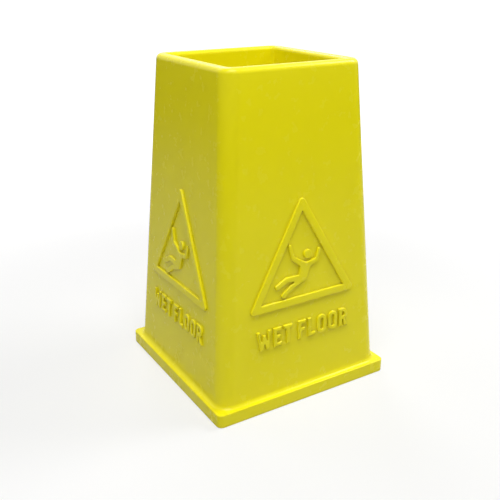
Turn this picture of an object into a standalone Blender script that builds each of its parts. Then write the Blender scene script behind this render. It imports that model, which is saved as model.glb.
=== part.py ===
"""A four-sided wet floor sign, in metres, +Z up, with its origin on the floor under its centre.

A tapered tower, open at the top and at the bottom, stands on a ballast ring with four rubber feet. Each
of its four walls carries raised marks: a warning triangle, a slipping figure and the words WET FLOOR.
"""

from math import atan, cos, pi, radians, sin, sqrt, tan

import bmesh
import bpy
from mathutils import Matrix, Vector
from mathutils.geometry import tessellate_polygon

MM = 0.001

# Overall sizes
HEIGHT = 500 * MM
TOP_WIDTH = 225.3 * MM  # across the walls, where their planes reach the full height
FOOT_WIDTH = 292.7 * MM  # across the walls, at the top of the flange
FLANGE_OVERHANG = 9 * MM
FLANGE_HEIGHT = 21 * MM

# The tower's moulding
WALL = 3 * MM
CORNER_ROUND = 23 * MM
FLANGE_CORNER_ROUND = 9.4 * MM
FLANGE_EDGE_ROUND = 1.2 * MM
FLANGE_FILLET = 6.5 * MM
RIM_OUTER_ROUND = 8 * MM
RIM_FLAT = 3.3 * MM
RIM_INNER_ROUND = 6 * MM
HEM_DEPTH = 62 * MM  # the rim is turned in and runs down inside for this far
HEM_DRAFT = radians(1.5)  # the hem's inner face looks a little upwards
CORNER_STEPS = 8

# The ballast ring, its feet and its screws
GAP = 0.3 * MM  # between pieces that are bonded, pressed or seated
FLOOR_GAP = 0.5 * MM  # the flange hangs this far above the floor
RING_FLOOR_GAP = 1 * MM
RING_WIDTH = 26 * MM
RING_INNER_ROUND = 10 * MM
RING_EDGE = 1 * MM
PAD_RADIUS = 10 * MM
PAD_HEIGHT = 3.2 * MM
STEM_RADIUS = 4.5 * MM
STEM_HEIGHT = 8 * MM
SCREW_RADIUS = 2 * MM
SCREW_GRIP = 12 * MM  # length inside the boss
HEAD_RADIUS = 4 * MM
HEAD_HEIGHT = 2.4 * MM
SOCKET_RADIUS = 1.5 * MM
SOCKET_DEPTH = 1.4 * MM
BOSS_RADIUS = 6 * MM
BOSS_END_WALL = 3 * MM

# The raised marks, measured up the wall from the floor
MARK_HEIGHT = 3.5 * MM
MARK_EDGE = 1.5 * MM
TRIANGLE_INNER_SIDE = 149 * MM
TRIANGLE_BAND = 12 * MM
TRIANGLE_ROUND = 5.6 * MM
TRIANGLE_INNER_BASE = 170 * MM
HEAD_CENTRE = (8.7 * MM, 232.4 * MM)
FIGURE_HEAD_RADIUS = 7 * MM
LETTER_BASE = 100 * MM
LETTER_HEIGHT = 30 * MM
LETTER_STROKE = 6 * MM
LETTER_GAP = 3.4 * MM
WORD_GAP = 10 * MM
WORDS = "WET FLOOR"
LETTER_WIDTHS = {"W": 25, "E": 14.5, "T": 16, "F": 14.5, "L": 14, "O": 17.5, "R": 16.5}  # millimetres

TOP_HALF = TOP_WIDTH / 2
FOOT_HALF = FOOT_WIDTH / 2
FLANGE_HALF = FOOT_HALF + FLANGE_OVERHANG
SLOPE = (FOOT_HALF - TOP_HALF) / (HEIGHT - FLANGE_HEIGHT)
TAPER = atan(SLOPE)
SKIN = WALL / cos(TAPER)  # the wall's thickness, measured level
RING_OUTER_HALF = FLANGE_HALF - WALL - GAP
RING_TOP = FLANGE_HEIGHT - WALL - GAP
RING_LINE = RING_OUTER_HALF - RING_WIDTH / 2
BOSS_FOOT = FLANGE_HEIGHT - WALL + GAP
SCREW_SEAT = RING_FLOOR_GAP + HEAD_HEIGHT + 2 * GAP
SCREW_TIP = BOSS_FOOT + SCREW_GRIP
BOSS_TOP = SCREW_TIP + GAP + BOSS_END_WALL

FACES = ("front", "right", "back", "left")
CORNERS = {
    "front_right": (1, -1),
    "back_right": (1, 1),
    "back_left": (-1, 1),
    "front_left": (-1, -1),
}


def clear_scene():
    for old in list(bpy.data.objects):
        bpy.data.objects.remove(old)


def plastic(name, colour, roughness):
    """A plain moulded material."""
    made = bpy.data.materials.new(name)
    made.use_nodes = True
    shader = made.node_tree.nodes["Principled BSDF"]
    shader.inputs["Base Color"].default_value = (*colour, 1)
    shader.inputs["Roughness"].default_value = roughness
    shader.inputs["Metallic"].default_value = 0
    return made


def place(name, mesh, material, parent=None, location=(0, 0, 0), turn=0):
    """Puts a mesh in the scene as a part, shaded smooth except at its edges."""
    mesh.shade_smooth()
    mesh.set_sharp_from_angle(angle=radians(30))
    made = bpy.data.objects.new(name, mesh)
    made.data.materials.append(material)
    made.location = location
    made.rotation_euler.z = turn
    made.parent = parent
    bpy.context.scene.collection.objects.link(made)
    return made


def cutter(name, mesh, location):
    """A shape that adds to a part or cuts into it."""
    made = bpy.data.objects.new(name, mesh)
    made.location = location
    made.hide_render = True
    made.display_type = "WIRE"
    bpy.context.scene.collection.objects.link(made)
    return made


def boolean(target, other, operation):
    made = target.modifiers.new(f"{operation} {other.name}", "BOOLEAN")
    made.operation = operation
    made.object = other
    made.solver = "EXACT"


def tower_half(z):
    """Half the tower's outer width at a height."""
    return FOOT_HALF - SLOPE * (z - FLANGE_HEIGHT)


def rounded_square(half, corner, z):
    """A ring of points round a square with round corners."""
    centre = half - corner
    ring = []
    for quarter, (sx, sy) in enumerate(((1, 1), (-1, 1), (-1, -1), (1, -1))):
        for step in range(CORNER_STEPS + 1):
            angle = (quarter + step / CORNER_STEPS) * pi / 2
            ring.append((sx * centre + corner * cos(angle), sy * centre + corner * sin(angle), z))
    return ring


def skin_rings(bm, rings, closed):
    """Joins each ring of points to the next with faces, and the last to the first if closed."""
    made = [[bm.verts.new(point) for point in ring] for ring in rings]
    pairs = list(zip(made, made[1:] + made[:1])) if closed else list(zip(made, made[1:]))
    for lower, upper in pairs:
        for i in range(len(lower)):
            j = (i + 1) % len(lower)
            bm.faces.new((lower[i], lower[j], upper[j], upper[i]))
    return made


def finish_mesh(name, bm):
    bmesh.ops.recalc_face_normals(bm, faces=bm.faces)
    mesh = bpy.data.meshes.new(name)
    bm.to_mesh(mesh)
    bm.free()
    return mesh


def square_loft(name, profile):
    """A closed square ring: the profile is a closed list of (half width, corner radius, height)."""
    bm = bmesh.new()
    skin_rings(bm, [rounded_square(*point) for point in profile], closed=True)
    return finish_mesh(name, bm)


def turned(name, profile, steps):
    """A turned solid: the profile is (radius, height) from the lower end of the axis to the upper."""
    bm = bmesh.new()
    turns = [2 * pi * i / steps for i in range(steps)]
    rings = [[(r * cos(a), r * sin(a), z) for a in turns] for r, z in profile]
    made = skin_rings(bm, rings, closed=False)
    bm.faces.new(made[0])
    bm.faces.new(made[-1])
    return finish_mesh(name, bm)


def arc(centre, radius, start, end, steps):
    """Points on an arc, with both its ends."""
    angles = [start + (end - start) * i / steps for i in range(steps + 1)]
    return [(centre[0] + radius * cos(a), centre[1] + radius * sin(a)) for a in angles]


def rim_centre_half():
    """Half the width across the centre lines of the rim's outer rounding."""
    return tower_half(HEIGHT - RIM_OUTER_ROUND * (1 - sin(TAPER))) - RIM_OUTER_ROUND * cos(TAPER)


def hem_half(z):
    """Half the mouth's width at a height, across the hem's inner faces."""
    touch = HEIGHT - RIM_INNER_ROUND * (1 - sin(HEM_DRAFT))
    mouth = rim_centre_half() - RIM_FLAT - RIM_INNER_ROUND * cos(HEM_DRAFT)
    return mouth - tan(HEM_DRAFT) * (touch - z)


def tower_profile():
    """The tower's wall from the flange's outer foot, up the outside, over the rim and down the hem."""
    mouth_corner = CORNER_ROUND - (TOP_HALF - hem_half(HEIGHT))

    def on_wall(points):
        """Gives each (half, z) the corner radius that keeps it parallel to the tower's outside."""
        return [(h, CORNER_ROUND - (tower_half(z) - h), z) for h, z in points]

    def on_hem(points):
        """Gives each (half, z) the corner radius that keeps it parallel to the hem's inner face."""
        return [(h, mouth_corner + h - hem_half(z), z) for h, z in points]

    edge_centre = (FLANGE_HALF - FLANGE_EDGE_ROUND, FLANGE_HEIGHT - FLANGE_EDGE_ROUND)
    flange_edge = arc(edge_centre, FLANGE_EDGE_ROUND, 0, pi / 2, 3)
    fillet_z = FLANGE_HEIGHT + FLANGE_FILLET
    fillet_half = tower_half(fillet_z - FLANGE_FILLET * sin(TAPER)) + FLANGE_FILLET * cos(TAPER)
    fillet = arc((fillet_half, fillet_z), FLANGE_FILLET, 1.5 * pi, pi + TAPER, 4)

    outer = (rim_centre_half(), HEIGHT - RIM_OUTER_ROUND)
    inner = (rim_centre_half() - RIM_FLAT, HEIGHT - RIM_INNER_ROUND)
    rim_out = arc(outer, RIM_OUTER_ROUND, TAPER, pi / 2, 6)
    rim_in = arc(inner, RIM_INNER_ROUND, pi / 2, pi - HEM_DRAFT, 4)
    pocket_in = arc(inner, RIM_INNER_ROUND - WALL, pi - HEM_DRAFT, pi / 2, 3)
    pocket_out = arc(outer, RIM_OUTER_ROUND - WALL, pi / 2, TAPER, 4)

    hem_z = HEIGHT - HEM_DEPTH
    hem_end = [(hem_half(hem_z), hem_z), (hem_half(hem_z) + WALL / cos(HEM_DRAFT), hem_z)]
    plate_z = FLANGE_HEIGHT - WALL
    foot = FLANGE_HALF - WALL
    return (
        [(FLANGE_HALF, FLANGE_CORNER_ROUND, FLOOR_GAP)]
        + [(h, FLANGE_CORNER_ROUND - (FLANGE_HALF - h), z) for h, z in flange_edge]
        + on_wall(fillet)
        + on_wall(rim_out)
        + on_hem(rim_in)
        + on_hem(hem_end)
        + on_hem(pocket_in)
        + on_wall(pocket_out)
        + on_wall([(tower_half(plate_z) - SKIN, plate_z)])
        + [(foot, FLANGE_CORNER_ROUND - WALL, z) for z in (plate_z, FLOOR_GAP)]
    )


def build_tower(material):
    """The one-piece moulding, with a boss for each ring screw inside its foot."""
    tower = place("tower_shell", square_loft("tower_shell", tower_profile()), material)
    bore = SCREW_RADIUS + GAP
    boss = turned("boss", [(BOSS_RADIUS, BOSS_FOOT), (BOSS_RADIUS, BOSS_TOP)], 24)
    pilot = turned("pilot", [(bore, BOSS_FOOT - WALL), (bore, SCREW_TIP + GAP)], 16)
    for face, (x, y) in side_places().items():
        boolean(tower, cutter(f"boss_{face}", boss, (x, y, 0)), "UNION")
        boolean(tower, cutter(f"pilot_{face}", pilot, (x, y, 0)), "DIFFERENCE")


def side_places():
    """Where a screw stands, at the middle of each side, so that its boss runs half way into the wall."""
    line = tower_half(BOSS_TOP) - SKIN + WALL / 2 - BOSS_RADIUS
    return {"front": (0, -line), "right": (line, 0), "back": (0, line), "left": (-line, 0)}


def build_ring(material):
    """The ballast ring inside the flange, recessed for its feet and its screws."""
    low, high = RING_FLOOR_GAP, RING_TOP
    inner_half = RING_OUTER_HALF - RING_WIDTH
    outer_round = FLANGE_CORNER_ROUND - WALL - GAP
    profile = [
        (RING_OUTER_HALF - RING_EDGE, outer_round - RING_EDGE, low),
        (RING_OUTER_HALF, outer_round, low + RING_EDGE),
        (RING_OUTER_HALF, outer_round, high - RING_EDGE),
        (RING_OUTER_HALF - RING_EDGE, outer_round - RING_EDGE, high),
        (inner_half + RING_EDGE, RING_INNER_ROUND + RING_EDGE, high),
        (inner_half, RING_INNER_ROUND, high - RING_EDGE),
        (inner_half, RING_INNER_ROUND, low + RING_EDGE),
        (inner_half + RING_EDGE, RING_INNER_ROUND + RING_EDGE, low),
    ]
    ring = place("ballast_ring", square_loft("ballast_ring", profile), material)
    below = -RING_FLOOR_GAP
    socket = [
        (PAD_RADIUS + GAP, below),
        (PAD_RADIUS + GAP, PAD_HEIGHT + GAP),
        (STEM_RADIUS + GAP, PAD_HEIGHT + GAP),
        (STEM_RADIUS + GAP, PAD_HEIGHT + STEM_HEIGHT + GAP),
    ]
    hole = [
        (HEAD_RADIUS + GAP, below),
        (HEAD_RADIUS + GAP, SCREW_SEAT + GAP),
        (SCREW_RADIUS + GAP, SCREW_SEAT + GAP),
        (SCREW_RADIUS + GAP, RING_TOP + RING_EDGE),
    ]
    socket_mesh, hole_mesh = turned("foot_socket", socket, 24), turned("screw_hole", hole, 16)
    for corner, (sx, sy) in CORNERS.items():
        at = (sx * RING_LINE, sy * RING_LINE, 0)
        boolean(ring, cutter(f"foot_socket_{corner}", socket_mesh, at), "DIFFERENCE")
    for face, (x, y) in side_places().items():
        boolean(ring, cutter(f"screw_hole_{face}", hole_mesh, (x, y, 0)), "DIFFERENCE")


def build_feet(material):
    """Rubber feet, each a pad with a stem that plugs into the ring."""
    edge = PAD_HEIGHT / 4
    profile = [
        (PAD_RADIUS - edge, 0),
        (PAD_RADIUS, edge),
        (PAD_RADIUS, PAD_HEIGHT),
        (STEM_RADIUS, PAD_HEIGHT),
        (STEM_RADIUS, PAD_HEIGHT + STEM_HEIGHT - edge),
        (STEM_RADIUS - edge, PAD_HEIGHT + STEM_HEIGHT),
    ]
    mesh = turned("foot", profile, 24)
    for corner, (sx, sy) in CORNERS.items():
        place(f"foot_{corner}", mesh, material, location=(sx * RING_LINE, sy * RING_LINE, 0))


def build_screws(material):
    """Pan head screws that hold the ring up inside the tower, each with a six-sided socket."""
    head = SCREW_SEAT - HEAD_HEIGHT
    profile = [
        (HEAD_RADIUS * 0.7, head),
        (HEAD_RADIUS * 0.95, head + HEAD_HEIGHT * 0.35),
        (HEAD_RADIUS, SCREW_SEAT),
        (SCREW_RADIUS, SCREW_SEAT),
        (SCREW_RADIUS, SCREW_TIP - SCREW_RADIUS),
        (SCREW_RADIUS * 0.3, SCREW_TIP),
    ]
    mesh = turned("ring_screw", profile, 16)
    socket = turned("socket", [(SOCKET_RADIUS, 0), (SOCKET_RADIUS, head + SOCKET_DEPTH)], 6)
    for face, (x, y) in side_places().items():
        screw = place(f"ring_screw_{face}", mesh.copy(), material, location=(x, y, 0))
        boolean(screw, cutter(f"socket_{face}", socket, (x, y, 0)), "DIFFERENCE")


def mark_frames():
    """An empty on each wall's outer face: X to the reader's right, Y up the slope, Z outwards."""
    frames = {}
    reach = tower_half(0)
    for quarter, face in enumerate(FACES):
        turn = quarter * pi / 2
        frame = bpy.data.objects.new(f"wall_{face}", None)
        frame.location = (reach * sin(turn), -reach * cos(turn), 0)
        frame.rotation_euler = (pi / 2 - TAPER, 0, turn)
        bpy.context.scene.collection.objects.link(frame)
        frames[face] = frame
    return frames


def soften(points, radii, steps=3):
    """An outline with each corner replaced by an arc of its own radius, or kept sharp where that is 0."""
    made = []
    for i, (point, radius) in enumerate(zip(points, radii)):
        corner = Vector(point)
        before = (Vector(points[i - 1]) - corner).normalized()
        after = (Vector(points[(i + 1) % len(points)]) - corner).normalized()
        if not radius:
            made.append(corner)
            continue
        half_angle = before.angle(after) / 2
        reach = radius / tan(half_angle)
        centre = corner + (before + after).normalized() * radius / sin(half_angle)
        start, end = corner + before * reach - centre, corner + after * reach - centre
        sweep = start.angle_signed(end)
        for step in range(steps + 1):
            made.append(centre + Matrix.Rotation(-sweep * step / steps, 2) @ start)
    return made


def inset(points, distance):
    """The outline moved to its left by a distance, with its corners mitred."""
    made = []
    for i, point in enumerate(points):
        along = (point - points[i - 1]).normalized()
        onward = (points[(i + 1) % len(points)] - point).normalized()
        left = Vector((-along.y - onward.y, along.x + onward.x)) / 2
        made.append(point + left * distance / left.length_squared)
    return made


def raised_mark(name, outline, holes=()):
    """A mark with a chamfered front edge. Its outline runs anticlockwise, and its holes clockwise."""
    loops = [[Vector(p) for p in loop] for loop in (outline, *holes)]
    bm = bmesh.new()
    backs, fronts = [], []
    for loop in loops:
        face = inset(loop, MARK_EDGE)
        levels = (
            [(*p, GAP) for p in loop],
            [(*p, MARK_HEIGHT - MARK_EDGE) for p in loop],
            [(*p, MARK_HEIGHT) for p in face],
        )
        made = skin_rings(bm, levels, closed=False)
        backs.append(made[0])
        fronts.append(made[-1])
    for cap in (backs, fronts):
        corners = [v for loop in cap for v in loop]
        for triangle in tessellate_polygon([[v.co for v in loop] for loop in cap]):
            bm.faces.new([corners[i] for i in triangle])
    return finish_mesh(name, bm)


def triangle_mark():
    """An equal-sided frame: round corners outside and sharp ones inside."""
    height = TRIANGLE_INNER_SIDE * sqrt(3) / 2
    low, half, band = TRIANGLE_INNER_BASE, TRIANGLE_INNER_SIDE / 2, TRIANGLE_BAND
    inner = [(-half, low), (0, low + height), (half, low)]
    outer_half = half + band * sqrt(3)
    outer = [(-outer_half, low - band), (outer_half, low - band), (0, low + height + 2 * band)]
    return soften(outer, [TRIANGLE_ROUND] * 3, 4), [inner]


def figure_mark():
    """The slipping figure's body, as (x, y, corner radius) in millimetres from the left hand round."""
    body = [
        (-25.4, 251.0, 2.4),
        (-19.8, 228.6, 4),
        (-5.2, 216.0, 2),
        (-7.4, 203.2, 2),
        (-29.5, 203.8, 8),
        (-50.4, 193.6, 3.4),
        (-46.8, 186.2, 3.4),
        (-28.0, 195.4, 6),
        (-12.0, 194.6, 1.4),
        (-23.4, 189.8, 6),
        (-40.6, 177.6, 3.2),
        (-35.6, 171.6, 3.2),
        (-17.6, 184.4, 6),
        (5.8, 193.2, 5),
        (12.6, 213.0, 2),
        (27.0, 217.4, 4),
        (32.2, 237.4, 2.2),
        (27.2, 239.4, 2.2),
        (22.8, 223.6, 2.6),
        (6.0, 220.4, 5),
        (-14.6, 232.2, 2.6),
        (-20.2, 252.8, 2.4),
    ]
    return soften([(x * MM, y * MM) for x, y, _ in body], [r * MM for *_, r in body])


def head_mark():
    turns = 20
    return [
        (
            HEAD_CENTRE[0] + FIGURE_HEAD_RADIUS * cos(2 * pi * i / turns),
            HEAD_CENTRE[1] + FIGURE_HEAD_RADIUS * sin(2 * pi * i / turns),
        )
        for i in range(turns)
    ]


def oval(width, height, margin):
    """A straight-sided oval, this far inside a letter's box."""
    radius = width / 2 - margin
    upper = arc((width / 2, height - margin - radius), radius, 0, pi, 8)
    lower = arc((width / 2, margin + radius), radius, pi, 2 * pi, 8)
    return upper + lower


def letter_outline(letter, w):
    """(outline, holes) of a capital letter of this width, with its lower left corner at 0, 0."""
    h, s = LETTER_HEIGHT, LETTER_STROKE
    middle = (h - s) / 2
    short = w - s / 3
    if letter == "L":
        return [(0, 0), (w, 0), (w, s), (s, s), (s, h), (0, h)], []
    if letter == "T":
        left, right = (w - s) / 2, (w + s) / 2
        bar = [(w, h - s), (w, h), (0, h), (0, h - s)]
        return [(left, 0), (right, 0), (right, h - s)] + bar + [(left, h - s)], []
    middle_arm = [(s, middle), (short, middle), (short, middle + s), (s, middle + s)]
    arms = middle_arm + [(s, h - s), (w, h - s), (w, h), (0, h)]
    if letter == "F":
        return [(0, 0), (s, 0)] + arms, []
    if letter == "E":
        return [(0, 0), (w, 0), (w, s), (s, s)] + arms, []
    if letter == "O":
        return oval(w, h, 0), [oval(w, h, s)[::-1]]
    if letter == "R":
        return letter_r(w, h, s)
    return letter_w(w, h), []


def letter_w(w, h):
    """W, as shares of its width and its height."""
    half = [(0, 1), (0.17, 0), (0.4, 0), (0.5, 0.36)]
    notch = [(0.59, 0.78), (0.7, 0.4), (0.77, 1)]
    lower = half + [(1 - x, y) for x, y in reversed(half[:-1])]
    upper = notch[::-1] + [(1 - x, y) for x, y in notch]
    return [(x * w, y * h) for x, y in lower + upper]


def letter_r(w, h, s):
    """R: a stem, a round bowl with its hole, and a leg."""
    waist = h * 0.38
    bowl = (h - waist) / 2
    centre = (w - bowl, h - bowl)
    leg = [(w * 0.46, waist), (w - s * 1.1, 0), (w + s * 0.1, 0)]
    outside = arc(centre, bowl, -pi * 0.36, pi / 2, 7)
    outline = [(0, 0), (s, 0), (s, waist)] + leg + outside + [(0, h)]
    hole = arc(centre, bowl - s, -pi / 2, pi / 2, 6) + [(s, h - s), (s, waist + s)]
    return outline, [hole[::-1]]


def build_marks(material):
    """The raised marks, bonded to each wall."""
    frames = mark_frames()
    outline, holes = triangle_mark()
    triangle = raised_mark("warning_triangle", outline, holes)
    body = raised_mark("slip_figure_body", figure_mark())
    head = raised_mark("slip_figure_head", head_mark())
    letters = {
        c: raised_mark(f"letter_{c}", *letter_outline(c, width * MM)) for c, width in LETTER_WIDTHS.items()
    }
    for face, frame in frames.items():
        place(f"warning_triangle_{face}", triangle, material, frame)
        place(f"slip_figure_body_{face}", body, material, frame)
        place(f"slip_figure_head_{face}", head, material, frame)
        for name, letter, x in lettering():
            place(f"letter_{face}_{name}", letters[letter], material, frame, (x, LETTER_BASE, 0))


def lettering():
    """(name, letter, left edge) of each letter, with the words centred."""
    widths = [LETTER_WIDTHS[c] * MM + LETTER_GAP if c != " " else WORD_GAP - LETTER_GAP for c in WORDS]
    x = -(sum(widths) - LETTER_GAP) / 2
    placed = []
    for c, width in zip(WORDS, widths):
        if c != " ":
            placed.append((f"{len(placed) + 1}_{c.lower()}", c, x))
        x += width
    return placed


def main():
    clear_scene()
    yellow = plastic("yellow_plastic", (0.80, 0.70, 0.01), 0.38)
    ballast = plastic("black_ballast_rubber", (0.03, 0.03, 0.032), 0.75)
    rubber = plastic("grey_foot_rubber", (0.10, 0.10, 0.10), 0.85)
    steel = plastic("screw_steel", (0.62, 0.63, 0.65), 0.3)
    steel.node_tree.nodes["Principled BSDF"].inputs["Metallic"].default_value = 1
    build_tower(yellow)
    build_marks(yellow)
    build_ring(ballast)
    build_feet(rubber)
    build_screws(steel)


main()
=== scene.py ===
from math import atan, cos, pi, radians, sin, sqrt, tan

import bmesh
import bpy
from mathutils import Matrix, Vector
from mathutils.geometry import tessellate_polygon


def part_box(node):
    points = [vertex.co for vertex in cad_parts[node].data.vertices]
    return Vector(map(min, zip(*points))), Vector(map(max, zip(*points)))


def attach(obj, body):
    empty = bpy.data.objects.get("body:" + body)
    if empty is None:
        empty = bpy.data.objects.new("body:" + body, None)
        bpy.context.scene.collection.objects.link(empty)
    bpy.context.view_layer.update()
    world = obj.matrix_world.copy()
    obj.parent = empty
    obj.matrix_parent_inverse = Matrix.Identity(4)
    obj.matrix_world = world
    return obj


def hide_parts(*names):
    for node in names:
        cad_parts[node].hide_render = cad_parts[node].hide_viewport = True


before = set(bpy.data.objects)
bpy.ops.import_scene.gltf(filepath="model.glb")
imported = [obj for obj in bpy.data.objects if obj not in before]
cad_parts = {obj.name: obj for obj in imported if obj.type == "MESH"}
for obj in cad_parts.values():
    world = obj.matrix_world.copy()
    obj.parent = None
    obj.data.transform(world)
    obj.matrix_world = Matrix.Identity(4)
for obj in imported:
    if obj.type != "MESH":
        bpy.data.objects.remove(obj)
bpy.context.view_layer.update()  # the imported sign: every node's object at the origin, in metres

mm = 0.001
white = (1, 1, 1, 1)
facing = ("front", "right", "back", "left")  # the walls, anticlockwise from the one that faces -Y
scene = bpy.context.scene
shading = {
    "sharpAngle": 35,  # degrees, past which an edge is shaded sharp
    "markSharpAngle": 50,
    "degreesPerStep": 9,  # round a bend
    "coarseDegreesPerStep": 18,
    "longRun": 5 * mm,  # a straight run past this gets a support near each end
    "runSupport": 0.8 * mm,
    "cornerSupport": 1 * mm,
    "weld": 0.001 * mm,  # points closer than this are one
    "shortestEdge": 0.0005 * mm,
}
cutterSpare = 2 * mm  # how far a cutter runs past the face that it opens


# Adds one node. What is an output socket gets linked, and any other value is set on the input.
def addStep(tree, kind, inputs=None, **options):
    node = tree.nodes.new(kind)
    for option, value in options.items():
        setattr(node, option, value)
    for socket, value in (inputs or {}).items():
        if isinstance(value, bpy.types.NodeSocket):
            tree.links.new(value, node.inputs[socket])
        else:
            node.inputs[socket].default_value = value
    return node


# One arithmetic step, in a geometry tree or in a material.
def calc(tree, operation, first, second=0.0, third=0.0, clamp=False):
    inputs = {0: first, 1: second, 2: third}
    return addStep(tree, "ShaderNodeMath", inputs, operation=operation, use_clamp=clamp).outputs[0]


def addSockets(tree, direction, sockets):
    for label, kind, *value in sockets:
        made = tree.interface.new_socket(label, in_out=direction, socket_type=f"NodeSocket{kind}")
        if value:
            made.default_value = value[0]


# Lofts a profile round a square with round corners. The profile is a row of points whose
# X is the half width, Y the corner radius and Z the height. A circle has both the same.
def buildLoftTree():
    tree = bpy.data.node_groups.new("squareLoft", "GeometryNodeTree")
    tree.is_modifier = True
    addSockets(tree, "INPUT", [
        ("Geometry", "Geometry"),
        ("Corner Steps", "Int", 16),
        ("Edge Support", "Float", 1 * mm),
        ("Material", "Material"),
    ])
    addSockets(tree, "OUTPUT", [("Geometry", "Geometry")])
    given = addStep(tree, "NodeGroupInput").outputs
    steps = given["Corner Steps"]
    rows = addStep(tree, "GeometryNodeAttributeDomainSize", {0: given["Geometry"]}).outputs["Point Count"]
    perCorner = calc(tree, "ADD", steps, 3)  # the bend's points and a support on either side
    around = calc(tree, "MULTIPLY", perCorner, 4)
    rowStride = calc(tree, "ADD", rows, 1)
    counts = {"Vertices X": calc(tree, "ADD", around, 1), "Vertices Y": rowStride}
    grid = addStep(tree, "GeometryNodeMeshGrid", counts).outputs["Mesh"]

    # each point's row in the profile and column round the square: the last repeats the first
    index = addStep(tree, "GeometryNodeInputIndex").outputs[0]
    column = calc(tree, "FLOOR", calc(tree, "DIVIDE", index, rowStride))
    row = calc(tree, "SUBTRACT", index, calc(tree, "MULTIPLY", column, rowStride))
    row = calc(tree, "MODULO", row, rows)
    column = calc(tree, "MODULO", column, around)
    sample = addStep(tree, "GeometryNodeSampleIndex", data_type="FLOAT_VECTOR", domain="POINT")
    tree.links.new(given["Geometry"], sample.inputs["Geometry"])
    tree.links.new(addStep(tree, "GeometryNodeInputPosition").outputs[0], sample.inputs["Value"])
    tree.links.new(row, sample.inputs["Index"])
    half, corner, height = addStep(tree, "ShaderNodeSeparateXYZ", {0: sample.outputs[0]}).outputs

    # which corner the column belongs to, how far round it, and the supports on either side
    quarter = calc(tree, "FLOOR", calc(tree, "DIVIDE", column, perCorner))
    place = calc(tree, "SUBTRACT", column, calc(tree, "MULTIPLY", quarter, perCorner))
    share = calc(tree, "DIVIDE", calc(tree, "SUBTRACT", place, 1), steps, clamp=True)
    angle = calc(tree, "MULTIPLY", calc(tree, "ADD", quarter, share), pi / 2)
    after = calc(tree, "SUBTRACT", calc(tree, "SUBTRACT", place, steps), 1, clamp=True)
    before = calc(tree, "SUBTRACT", 1, place, clamp=True)
    along = calc(tree, "MULTIPLY", calc(tree, "SUBTRACT", after, before), given["Edge Support"])
    diagonal = calc(tree, "MULTIPLY", calc(tree, "ADD", quarter, 0.5), pi / 2)
    centre = calc(tree, "SUBTRACT", half, corner)

    # X or Y of a point: where the bend's centre is, the bend, and the support beyond its end
    def spot(own, other, sign):
        side = calc(tree, "MULTIPLY", calc(tree, "SIGN", calc(tree, own, diagonal)), centre)
        bent = calc(tree, "MULTIPLY", corner, calc(tree, own, angle))
        straight = calc(tree, "MULTIPLY", along, calc(tree, other, angle))
        return calc(tree, "ADD", calc(tree, "ADD", side, bent), calc(tree, "MULTIPLY", straight, sign))

    parts = {0: spot("COSINE", "SINE", -1), 1: spot("SINE", "COSINE", 1), 2: height}
    point = addStep(tree, "ShaderNodeCombineXYZ", parts).outputs[0]
    bent = addStep(tree, "GeometryNodeSetPosition", {"Geometry": grid, "Position": point}).outputs[0]
    merging = {"Geometry": bent, "Distance": shading["weld"]}
    closed = addStep(tree, "GeometryNodeMergeByDistance", merging).outputs[0]
    endTree(tree, closed, given["Material"])
    return tree


# Repeats a piece on the four sides, each turned a quarter on from the last.
def buildFourSidesTree():
    tree = bpy.data.node_groups.new("onFourSides", "GeometryNodeTree")
    tree.is_modifier = True
    addSockets(tree, "INPUT", [
        ("Geometry", "Geometry"),
        ("Reach", "Float", 0.0),
        ("First Turn", "Float", 0.0),
        ("Material", "Material"),
    ])
    addSockets(tree, "OUTPUT", [("Geometry", "Geometry")])
    given = addStep(tree, "NodeGroupInput").outputs
    index = addStep(tree, "GeometryNodeInputIndex").outputs[0]
    turn = calc(tree, "ADD", calc(tree, "MULTIPLY", index, pi / 2), given["First Turn"])
    x = calc(tree, "MULTIPLY", calc(tree, "COSINE", turn), given["Reach"])
    y = calc(tree, "MULTIPLY", calc(tree, "SINE", turn), given["Reach"])
    place = addStep(tree, "ShaderNodeCombineXYZ", {0: x, 1: y}).outputs[0]
    spots = addStep(tree, "GeometryNodePoints", {"Count": len(facing), "Position": place}).outputs[0]
    facingOut = addStep(tree, "ShaderNodeCombineXYZ", {2: turn}).outputs[0]
    placing = {"Points": spots, "Instance": given["Geometry"], "Rotation": facingOut}
    copies = addStep(tree, "GeometryNodeInstanceOnPoints", placing).outputs[0]
    endTree(tree, copies, given["Material"])
    return tree


# Ends a geometry tree: real geometry in one material.
def endTree(tree, geometry, material):
    real = addStep(tree, "GeometryNodeRealizeInstances", {0: geometry})
    coated = addStep(tree, "GeometryNodeSetMaterial", {"Geometry": real.outputs[0], "Material": material})
    tree.links.new(coated.outputs[0], addStep(tree, "NodeGroupOutput").inputs[0])


# Runs a tree on a mesh and gives the result as a new plain mesh.
def grow(mesh, tree, settings):
    holder = bpy.data.objects.new("holder", mesh)
    scene.collection.objects.link(holder)
    modifier = holder.modifiers.new(tree.name, "NODES")
    modifier.node_group = tree
    for item in tree.interface.items_tree:
        if item.in_out == "INPUT" and item.name in settings:
            modifier[item.identifier] = settings[item.name]
    return flatten(holder)


# Turns an object and its modifiers into a plain mesh and removes the object.
def flatten(holder):
    bpy.context.view_layer.update()
    seen = holder.evaluated_get(bpy.context.evaluated_depsgraph_get())
    made = bpy.data.meshes.new_from_object(seen)
    bpy.data.objects.remove(holder)
    return made


# Cuts or adds the second mesh, with an exact Boolean.
def combine(mesh, other, operation):
    holder = bpy.data.objects.new("holder", mesh)
    tool = bpy.data.objects.new("tool", other)
    for made in (holder, tool):
        scene.collection.objects.link(made)
    modifier = holder.modifiers.new(operation, "BOOLEAN")
    modifier.operation = operation
    modifier.solver = "EXACT"
    modifier.object = tool
    made = flatten(holder)
    bpy.data.objects.remove(tool)
    return made


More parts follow.
